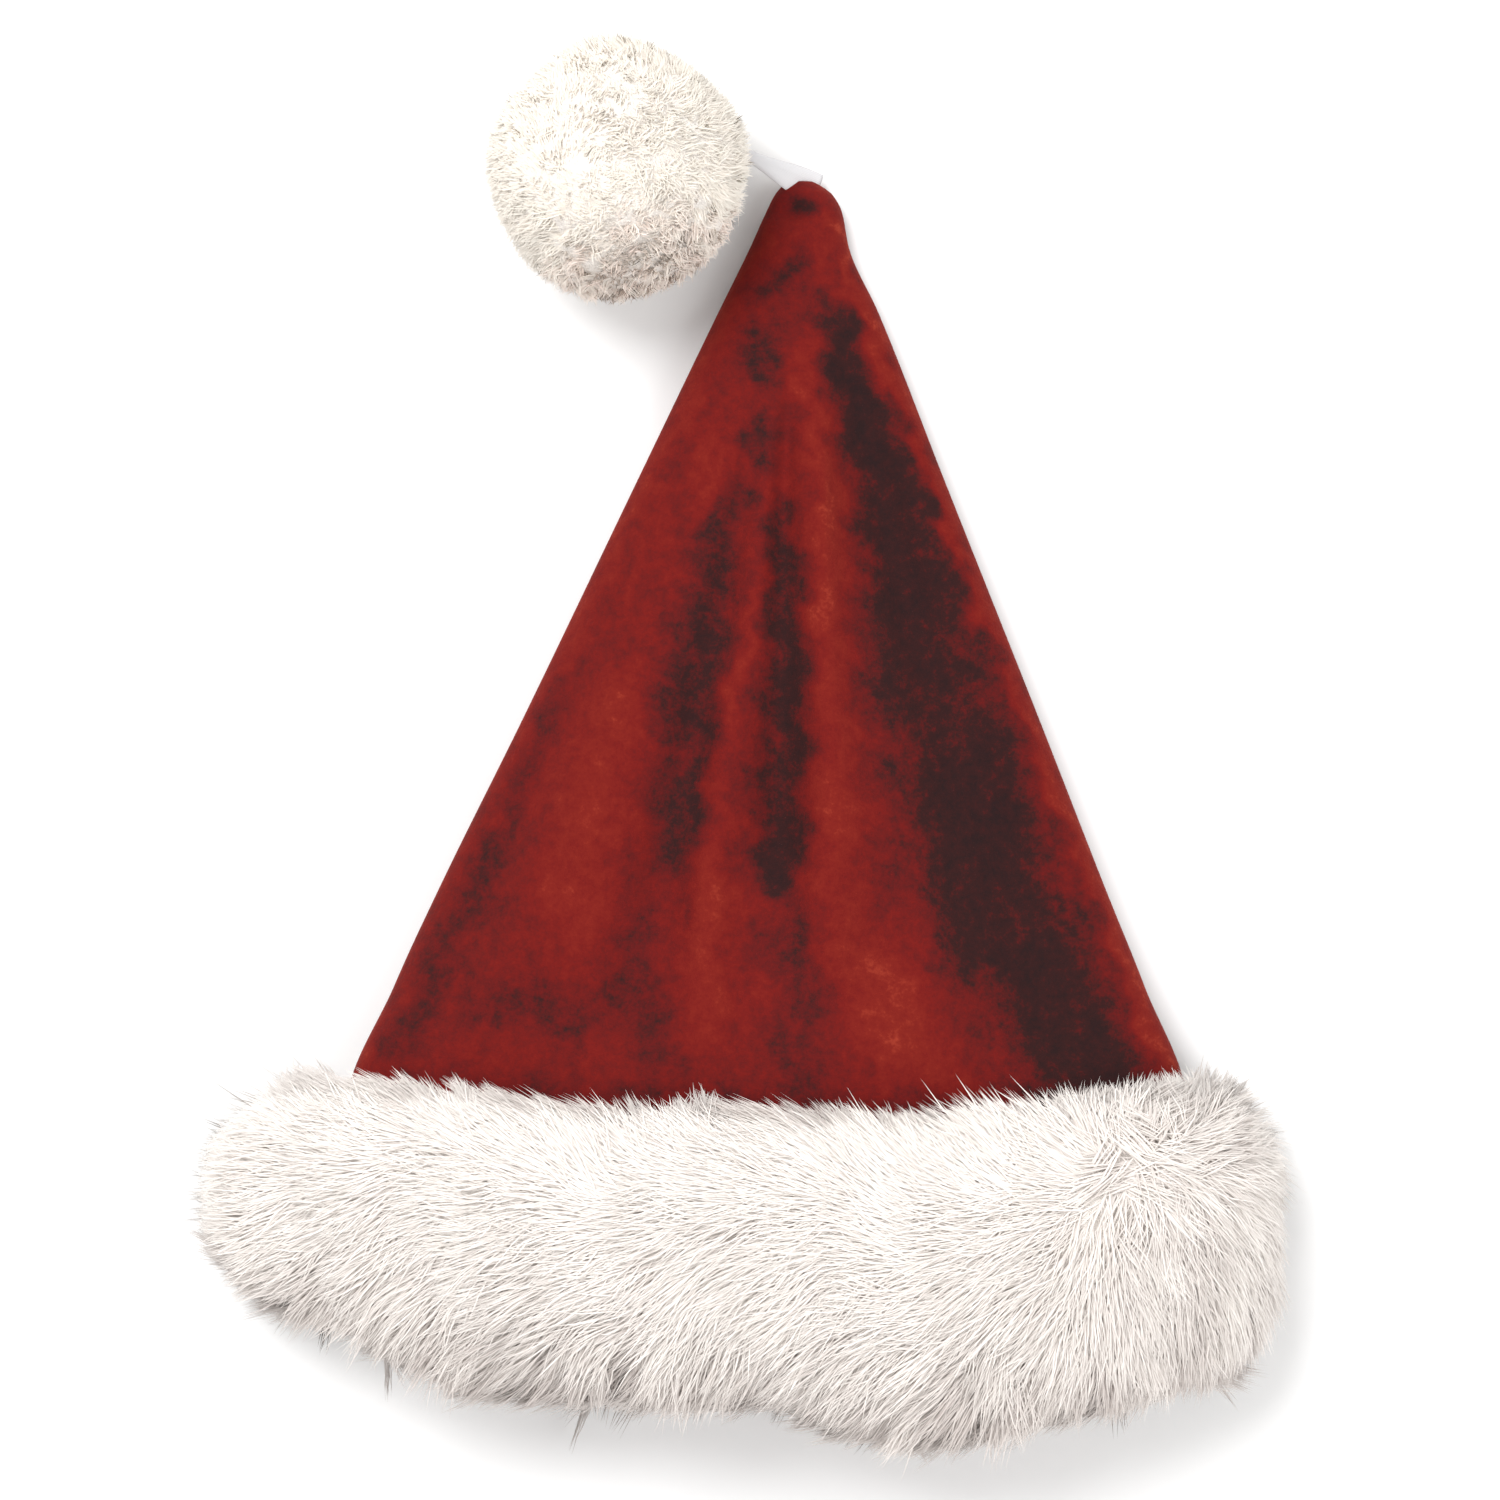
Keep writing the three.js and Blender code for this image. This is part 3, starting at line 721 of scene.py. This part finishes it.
def strands(roots, tips, bow, side, width, tone, facing):
    """Flat tapering strands as point arrays. A strand runs from its root to its tip along a
    parabola that bows by the vector bow. side is the way that its width lies, and facing its
    normal, so fur shades as one soft body."""
    share = np.linspace(0, 1, STRAND_STEPS + 1)[:, None]
    middle = mixed(roots[:, None], tips[:, None], share) + 4 * bow[:, None] * share * (1 - share)
    half = 0.5 * width[:, None] * (1 - share[:-1, 0] ** 2) ** 0.5
    pairs = np.stack(
        [
            middle[:, :-1] - side[:, None] * half[..., None],
            middle[:, :-1] + side[:, None] * half[..., None],
        ],
        axis=2,
    ).reshape(len(roots), -1, 3)
    points = np.concatenate([pairs, middle[:, -1:]], axis=1)
    along = np.append(np.repeat(share[:-1, 0], 2), 1.0)
    count = points.shape[1]
    first = np.arange(len(roots))[:, None, None] * count
    quad = 2 * np.arange(STRAND_STEPS - 1)[:, None] + np.array([0, 1, 3, 2])
    end = np.array([[count - 3, count - 2, count - 1]])
    return {
        "points": points,
        "faces": [(first + quad).reshape(-1, 4), (first + end).reshape(-1, 3)],
        "layers": {
            "along_strand": np.tile(along, len(roots)),
            "tone": np.repeat(tone, count),
        },
        "normals": np.repeat(facing, count, axis=0),
    }


def turned_about(along, side, offset, angle):
    """Places at an offset and an angle, in the plane of along and side."""
    return along * (offset * np.cos(angle))[:, None] + side * (offset * np.sin(angle))[:, None]


def strand_width(way, out, lift):
    """The way a strand's width lies: square to the way it grows, with its outer face turned up to
    the light."""
    face = out + lift * UP
    face = face - way * np.sum(face * way, -1, keepdims=True)
    return unit(np.cross(way, face))


def strand_facing(facing, way, flat):
    """A strand's normal. Where its outer face is up, the normal turns up too."""
    face_up = np.cross(flat, way)[:, 2] > 0
    facing[:, 2] = np.where(face_up, np.maximum(facing[:, 2], LEAST_UP), facing[:, 2])
    return unit(facing)


def scattered(random, surface, rows, columns, count, weight):
    """Places spread evenly over a surface of two parameters: grid cells drawn by their area times
    weight, and a random place in each."""
    u = np.linspace(0, 1, rows + 1)
    v = np.linspace(0, 1, columns + 1)
    grid = surface(u[:, None], v[None, :])
    along = grid[1:, :-1] - grid[:-1, :-1]
    across = grid[:-1, 1:] - grid[:-1, :-1]
    area = np.linalg.norm(np.cross(along, across), axis=-1)
    area = area * weight((u[:-1, None] + u[1:, None]) / 2, (v[None, :-1] + v[None, 1:]) / 2)
    cell = random.choice(area.size, count, p=area.ravel() / area.sum())
    i, j = np.divmod(cell, columns)
    return (i + random.random(count)) / rows, (j + random.random(count)) / columns


def wispiness(x, over):
    """1 at the lower edge and the right end, where the fur hangs in wisps, down to 0 in the smooth
    middle."""
    lower = ease((over - 0.45) / 0.3)
    upper = 0.6 * ease((0.14 - over) / 0.08)
    right = 0.6 * ease((x - 95) / 50)
    return np.maximum(np.clip(lower + upper, 0, 1), right)


def cuff_backing(angle, over, below=0.0):
    """The close fur, a little inside the outline: SMOOTH_FUR to LOOSE_FUR deep by the wisps."""
    point = fur_point(angle, over)
    depth = mixed(SMOOTH_FUR, LOOSE_FUR, wispiness(point[..., 0], over))
    depth = depth * ease(np.sin(np.pi * over) / 0.4) + below
    point = point - fur_normal(angle, over) * depth[..., None]
    point[..., 2] = np.maximum(point[..., 2], CLEAR_OF_TABLE)
    return point


def cuff_backing_piece(finish):
    """The ring of close fur, closed against the crown."""
    around, over_steps = 240, 36
    angles = np.linspace(0, 2 * np.pi, around, endpoint=False)
    over = np.linspace(0.015, 0.985, over_steps)
    outer = cuff_backing(angles[None, :], over[:, None])
    inner = crown_point(CUFF_MIDDLE, angles, inset=0.6)
    ends = [stacked(inner[:, 0], outer[k, :, 1], inner[:, 2]) for k in (-1, 0)]
    rings = np.concatenate([outer, np.stack(ends)])
    faces = grid_faces(len(rings) + 1, around) % (len(rings) * around)
    return mesh_piece("cuff_backing", rings, [faces], [finish], "white_fur", replaces=["fur_cuff"])


def off_the_crown(points, above):
    """Lifts points out of the crown: above its upper layer where above is true, and else below its
    lower one. Where along it a point lies comes from y = along * length + slant, solved in three
    steps."""
    x, y, z = np.moveaxis(points, -1, 0)
    across = np.clip(2 * x / MOUTH_WIDTH, -1, 1)
    slant = cuff_column("rim", across) + HEM
    along = y / CROWN_LENGTH
    for _ in range(3):
        along = (y - slant * (1 - ease(along / CUFF_TOP))) / CROWN_LENGTH
    behind_mouth = along > 0
    along = np.clip(along, 0, 1)
    left = -crown_column("left", along) * MOUTH_WIDTH / 2
    right = crown_column("right", along) * MOUTH_WIDTH / 2
    cosine = (x - (left + right) / 2) / ((right - left) / 2)
    over_it = behind_mouth & (np.abs(cosine) < 1)
    angle = np.arccos(np.clip(cosine, -1, 1))
    top = crown_point(along, angle)[..., 2] + CLEAR_OF_PLUSH
    bottom = crown_point(along, -angle)[..., 2] - CLEAR_OF_PLUSH
    z = np.where(over_it, np.where(above, np.maximum(z, top), np.minimum(z, bottom)), z)
    return np.stack([x, y, z], axis=-1)


def wisp_wave(x, over):
    """Waves across the cuff, about as wide as a wisp of fur."""
    return 0.6 * np.sin(0.27 * x + 7.0 * over) + 0.4 * np.sin(0.17 * x - 3.0 * over + 2.0)


def combed(x, over, random):
    """The way the cuff's fur is combed, in the plane: up to the left at the upper edge, to the
    left in the middle, down to the left at the lower edge, and down and out to the right at the
    right end. Slow waves turn it a little."""
    share = x / (MOUTH_WIDTH / 2)
    right_end = ease((share - 0.5) / 0.75)
    sweep = mixed(-0.8, 0.75, right_end) - 0.7 * ease((-0.95 - share) / 0.2)
    lean = 1.2 * np.cos(np.pi * np.clip(over * 1.05, 0, 1)) - 0.3 - 0.55 * right_end
    lean = lean + 0.5 * ease((-0.75 - share) / 0.3) * ease((over - 0.4) / 0.3)
    upper = ease((0.3 - over) / 0.2)
    turn = upper * (0.45 * np.sin(0.085 * x + 0.9) - 0.1)
    turn = turn + 0.2 * np.sin(0.052 * x + 4.1 * over) + 0.13 * np.sin(0.13 * x - 6.0 * over + 1.0)
    turn = turn + 0.3 * wisp_wave(x, over) * ease((over - 0.42) / 0.3)
    return (
        sweep * np.cos(turn) - lean * np.sin(turn) + 0.2 * random.standard_normal(x.shape),
        sweep * np.sin(turn) + lean * np.cos(turn) + 0.2 * random.standard_normal(x.shape),
    )


def cuff_fur(seed, clumps, each, length, spread, stand, draw, brow):
    """A coat of strands in clumps. A clump has one way to lie. Its strands draw together towards
    its end at the lower edge and the right end, where the fur hangs in wisps, and hardly in the
    smooth middle."""
    random = np.random.default_rng(seed)

    def surface(u, v):
        return fur_point(2 * np.pi * u, FUR_START + FUR_SPAN * v)

    def shown(u, v):
        edges = 1 + brow * ease((0.16 - v) / 0.08) + RIM_FUR * ease((v - 0.93) / 0.05)
        return np.where(np.sin(2 * np.pi * u) < -0.1, SPARSE_UNDER, 1.0) * edges

    u, v = scattered(random, surface, 240, 48, clumps, shown)
    angle, over = 2 * np.pi * u, FUR_START + FUR_SPAN * v
    centre = cuff_backing(angle, over, ROOTS_BELOW)
    out = fur_normal(angle, over)
    flow_x, flow_y = combed(centre[:, 0], over, random)
    flow = stacked(flow_x, flow_y, 0.0)
    upper_edge = ease((0.16 - over) / 0.1)[:, None]
    along = flow - out * np.sum(flow * out, -1, keepdims=True) * mixed(1.0, 0.85, upper_edge)
    along[:, 2] = np.where(out[:, 2] < 0.3, np.minimum(along[:, 2], 0), along[:, 2])
    lying = np.linalg.norm(along, axis=-1, keepdims=True)
    lying = lying / np.linalg.norm(flow, axis=-1, keepdims=True)
    along = unit(along)
    side = unit(np.cross(along, out))
    wisps = wispiness(centre[:, 0], over)[:, None]
    end_share = out[:, 0:1] ** 2
    height = stand * mixed(0.62, 1, wisps) * (0.8 + 0.4 * random.random((clumps, 1)))
    height = height * (1 + 0.15 * end_share)
    reach = length * (0.8 + 0.4 * random.random((clumps, 1))) * (1 - 0.35 * end_share)
    shortest = mixed(0.3, 0.65, ease((over - 0.85) / 0.1))[:, None]
    reach = reach * np.clip(lying, shortest, 1) * (1 - 0.25 * upper_edge)

    member = np.repeat(np.arange(clumps), each)
    count = len(member)
    offset = spread * np.sqrt(random.random(count))
    around = 2 * np.pi * random.random(count)
    shift = turned_about(along[member], side[member], offset, around)
    roots = centre[member] + shift
    own = 0.7 + 0.4 * random.random((count, 1))
    kept = mixed(1.0, draw, wisps[member]) * (0.8 + 0.4 * random.random((count, 1)))
    stray = random.standard_normal((count, 1)) * mixed(0.17, 0.07, wisps[member])
    way = along[member] + side[member] * stray
    rise = height[member] * (0.75 + 0.5 * random.random((count, 1)))
    tips = centre[member] + (way * reach[member] + out[member] * rise) * own + shift * kept
    bow = out[member] * (0.12 * rise) + side[member] * (random.standard_normal((count, 1)) * 1.1)
    grown = unit(tips - roots)
    flat = strand_width(grown, out[member], 0.25 + 0.5 * random.random((count, 1)))
    # Painted shade: the tone darkens towards the lower edge and through the wisps, and the wave paints
    # shadows between wisps; the rest of each clump's tone is random.
    painted_low_shade = ease((over - 0.55) / 0.3)
    clump_tone_and_shade = 0.55 * random.random(clumps) + 0.2 + 0.25 * wisp_wave(centre[:, 0] + 5, over)
    clump_tone_and_shade = clump_tone_and_shade * mixed(0.3, 0.95, wisps[:, 0]) + 0.4 * painted_low_shade
    tone = np.clip(clump_tone_and_shade[member] + 0.25 * random.random(count), 0, 1)
    facing = out[member] + 0.25 * along[member] + UP * UPWARD
    facing = facing + 0.12 * random.standard_normal((count, 3))
    facing = strand_facing(facing, grown, flat)
    width = 0.42 + 0.24 * random.random(count)
    made = strands(roots, tips, bow, flat, width, tone, facing)
    points = off_the_crown(made["points"], np.sin(angle)[member, None] >= 0)
    points[..., 2] = np.maximum(points[..., 2], 0.15 + 0.3 * random.random((count, 1)))
    made["points"] = points
    return made


POMPOM_CENTRE = np.array([-POMPOM_LEFT, CROWN_LENGTH + POMPOM_AHEAD, POMPOM_REST])


def pompom_radius(d):
    """The ball's radius, with two slow waves, in the direction d."""
    x, y, z = np.moveaxis(d, -1, 0)
    return POMPOM_WIDTH / 2 * (1 + 0.02 * np.sin(5 * x + 2) + 0.02 * np.sin(6 * y + 4 * z))


def ball_directions(count):
    """Points spread evenly over a ball, each a golden turn from the one before."""
    i = np.arange(count)
    z = 1 - 2 * (i + 0.5) / count
    ring = np.sqrt(1 - z * z)
    turn = i * np.pi * (3 - 5**0.5)
    return stacked(ring * np.cos(turn), ring * np.sin(turn), z)


def curly(offset):
    """1 in the pompom's lower right, where its fur is crushed into curls, and 0 elsewhere. offset
    is from its centre in mm."""
    x, y = offset[..., 0], offset[..., 1]
    edge = np.minimum(-15 + (x - 5.4) * 0.65, -12.5) + 2.0 * np.sin(0.3 * x)
    return ease((edge - y) / 7)


def pompom_core_piece(finish):
    """A lumpy ball, a little inside the tufts."""
    turns, rows = 96, 48
    lat = np.linspace(0, np.pi, rows + 2)[1:-1, None]
    lon = np.linspace(0, 2 * np.pi, turns, endpoint=False)[None, :]
    d = stacked(np.sin(lat) * np.cos(lon), np.sin(lat) * np.sin(lon), np.cos(lat))
    inset = 0.2
    ball = (POMPOM_CENTRE + d * (pompom_radius(d) - inset)[..., None]).reshape(-1, 3)
    poles = POMPOM_CENTRE + np.stack([UP, -UP]) * (POMPOM_WIDTH / 2 - inset)
    points = np.concatenate([ball, poles])
    points[:, 2] = np.maximum(points[:, 2], CLEAR_OF_TABLE)
    last = rows * turns
    faces = [
        grid_faces(rows, turns)[:, ::-1],
        fan(last, np.arange(turns)),
        fan(last + 1, np.arange(turns) + (rows - 1) * turns, turned=True),
    ]
    return mesh_piece("pompom_core", points, faces, [finish], "white_plush", replaces=["pompom"])


def pompom_fur(seed, clumps, each):
    """Short plush all over the ball. It leans with slow swirls, and lies crushed in small curls
    where the fur is curly."""
    random = np.random.default_rng(seed)
    d = unit(ball_directions(clumps) + 0.02 * random.standard_normal((clumps, 3)))
    centre = d * (pompom_radius(d) - 2.0)[:, None]
    curl = curly(centre)[:, None]
    x, y, z = d.T
    swirl = stacked(np.sin(4 * y + 1), np.sin(3 * z + 2 * x), np.cos(4 * x))
    swirl = unit(swirl + random.standard_normal((clumps, 3)) * mixed(0.9, 1.6, curl))
    lean = unit(swirl - d * np.sum(swirl * d, -1, keepdims=True))
    height = PLUSH_HEIGHT * (0.85 + 0.3 * random.random((clumps, 1)))
    slide = mixed(4.5, 5.5, curl) * (0.6 + 0.8 * random.random((clumps, 1)))

    member = np.repeat(np.arange(clumps), each)
    count = len(member)
    around = 2 * np.pi * random.random(count)
    side = np.cross(lean, d)
    offset = mixed(2.8, 1.7, curl[member, 0]) * np.sqrt(random.random(count))
    shift = turned_about(lean[member], side[member], offset, around)
    own = 0.75 + 0.35 * random.random((count, 1))
    tips = centre[member] + (d[member] * height[member] + lean[member] * slide[member]) * own
    tips = tips + shift * mixed(0.95, 0.3, curl[member]) + 0.7 * random.standard_normal((count, 3))
    bow = side[member] * (random.standard_normal((count, 1)) * mixed(0.7, 2.2, curl[member]))
    grown = unit(tips - centre[member] - shift)
    flat = strand_width(grown, d[member], 0.2 + 0.35 * random.random((count, 1)))
    # The tone is darker in the curls: partly the crushed fur's own mottling and partly painted shade in
    # the pompom's lower right and between the curls.
    clump_tone_and_shade = random.random(clumps) * mixed(0.15, 0.5, curl[:, 0]) + 0.15 * curl[:, 0]
    tone = np.clip(clump_tone_and_shade[member] + 0.2 * random.random(count), 0, 1)
    uneven = 0.12 * random.standard_normal((count, 3)) * (1 + 2 * curl[member])
    facing = strand_facing(d[member] + UP * UPWARD + uneven, grown, flat)
    roots = POMPOM_CENTRE + centre[member] + shift
    width = 0.42 + 0.2 * random.random(count)
    made = strands(roots, POMPOM_CENTRE + tips, bow, flat, width, tone, facing)
    made["points"][..., 2] = np.maximum(made["points"][..., 2], CLEAR_OF_TABLE)
    return made


def tie_piece(finish):
    """A flat strip from the tip's seam to the pompom's core. It narrows on the way, and a crease
    runs along it."""
    tip_height = TIE_LOW_EDGE * CROWN_DEPTH + TIE_THICK / 2
    tip = np.array([TIP_MIDDLE - 2, CROWN_LENGTH, tip_height])
    entry = unit(np.array(TIE_ENTRY)) * POMPOM_WIDTH / 2 + POMPOM_CENTRE
    way = unit(entry - tip)
    start = tip - unit(way * [1, 1, 0]) * TIE_SEWN_IN
    end = entry + way * TIE_IN_POMPOM
    steps, sides = 40, 24
    share = np.linspace(0, 1, steps)[:, None]
    middle = mixed(start, end, share) - UP * TIE_SAG * 4 * share * (1 - share)
    side = unit(np.cross(way, UP))
    up = np.cross(side, way)
    turn = np.linspace(0, 2 * np.pi, sides, endpoint=False)[None, :]
    wide = mixed(TIE_WIDE, TIE_NARROW, ease(share / 0.7)) / 2
    crease = TIE_CREASE * np.exp(-((np.cos(turn) / 0.3) ** 2)) * (np.sin(turn) > 0)
    rise = TIE_THICK / 2 * np.sin(turn) * 0.8 - crease * (wide / TIE_WIDE)
    strip = middle[:, None] + side * (wide * np.cos(turn))[..., None] + up * rise[..., None]
    ends = np.stack([strip[0].mean(0), strip[-1].mean(0)])
    points = np.concatenate([strip.reshape(-1, 3), ends])
    last = steps * sides
    faces = [
        grid_faces(steps, sides),
        fan(last, np.arange(sides), turned=True),
        fan(last + 1, np.arange(sides) + (steps - 1) * sides),
    ]
    across = np.concatenate([np.broadcast_to(np.cos(turn), (steps, sides)).ravel(), [0, 0]])
    return mesh_piece(
        "ribbon_tie",
        points,
        faces,
        [finish],
        "white_ribbon",
        replaces=["pompom_tie"],
        layers={"across_ribbon": across},
    )


crown_piece([velour_finish(), backing_finish()])

under_fur = under_fur_finish(
    "close_fur",
    base=colour(248, 244, 238),
    shade=colour(236, 228, 222),
)
cuff_strands = strand_finish(
    "long_fur",
    root=colour(243, 235, 229),
    tip=colour(254, 250, 245),
    shade=colour(206, 197, 192),
)
pompom_strands = strand_finish(
    "pompom_plush",
    root=colour(238, 232, 221),
    tip=colour(247, 243, 233),
    shade=colour(248, 230, 220),
)

cuff_backing_piece(under_fur)
for number, (seed, clumps, each, *lie) in enumerate(zip(*FUR_COATS.values()), start=1):
    coat = cuff_fur(int(seed), int(clumps), int(each), *lie)
    mesh_piece(f"cuff_fur_{number}", materials=[cuff_strands], slot="white_fur", **coat)

pompom_core_piece(under_fur)
plush = pompom_fur(seed=21, clumps=2200, each=15)
mesh_piece("pompom_fur", materials=[pompom_strands], slot="white_plush", **plush)
tie_piece(ribbon_finish())


def floor_piece():
    """A plain pale floor."""
    half, below = 6.0, -0.0004
    mesh = bpy.data.meshes.new("floor")
    corners = [(-half, -half), (half, -half), (half, half), (-half, half)]
    mesh.from_pydata([(x, y, below) for x, y in corners], [], [(0, 1, 2, 3)])
    paleness = colour(246, 246, 246)
    finish = Finish("pale_floor", Base_Color=paleness, Roughness=0.95, Specular_IOR_Level=0.1)
    mesh.materials.append(finish.material)
    floor = bpy.data.objects.new("floor", mesh)
    bpy.context.scene.collection.objects.link(floor)


def soft_light(name, place, size, watts):
    """A round light that looks at the hat's middle."""
    light = bpy.data.lights.new(name, "AREA")
    light.shape = "DISK"
    light.size = size
    light.energy = watts
    lamp = bpy.data.objects.new(name, light)
    lamp.location = place
    lamp.rotation_euler = (-Vector(place)).to_track_quat("-Z", "Y").to_euler()
    bpy.context.scene.collection.objects.link(lamp)


floor_piece()
soft_light("key", place=(-0.9, 1.2, 2.4), size=1.6, watts=66.0)
soft_light("fill", place=(1.4, -1.2, 1.8), size=2.0, watts=26.0)

world = bpy.data.worlds.new("studio")
world.use_nodes = True
sky = world.node_tree.nodes["Background"].inputs
sky["Color"].default_value = (1.0, 0.99, 0.98, 1.0)
sky["Strength"].default_value = 0.7
scene = bpy.context.scene
scene.world = world
scene.view_settings.view_transform = "Standard"

# The camera looks straight down, with the tip at the top of the picture.
CAMERA_HEIGHT = 2.4
PICTURE_MIDDLE = (0.0007, -0.0018)
PICTURE_SIDE = 0.54  # what the picture takes in across, at the hat's middle height
MIDDLE_HEIGHT = 0.03
SENSOR_WIDTH = 36.0  # in mm
camera_data = bpy.data.cameras.new("camera")
camera_data.sensor_width = SENSOR_WIDTH
camera_data.lens = SENSOR_WIDTH * (CAMERA_HEIGHT - MIDDLE_HEIGHT) / PICTURE_SIDE
camera = bpy.data.objects.new("camera", camera_data)
camera.location = (*PICTURE_MIDDLE, CAMERA_HEIGHT)
scene.collection.objects.link(camera)
scene.camera = camera
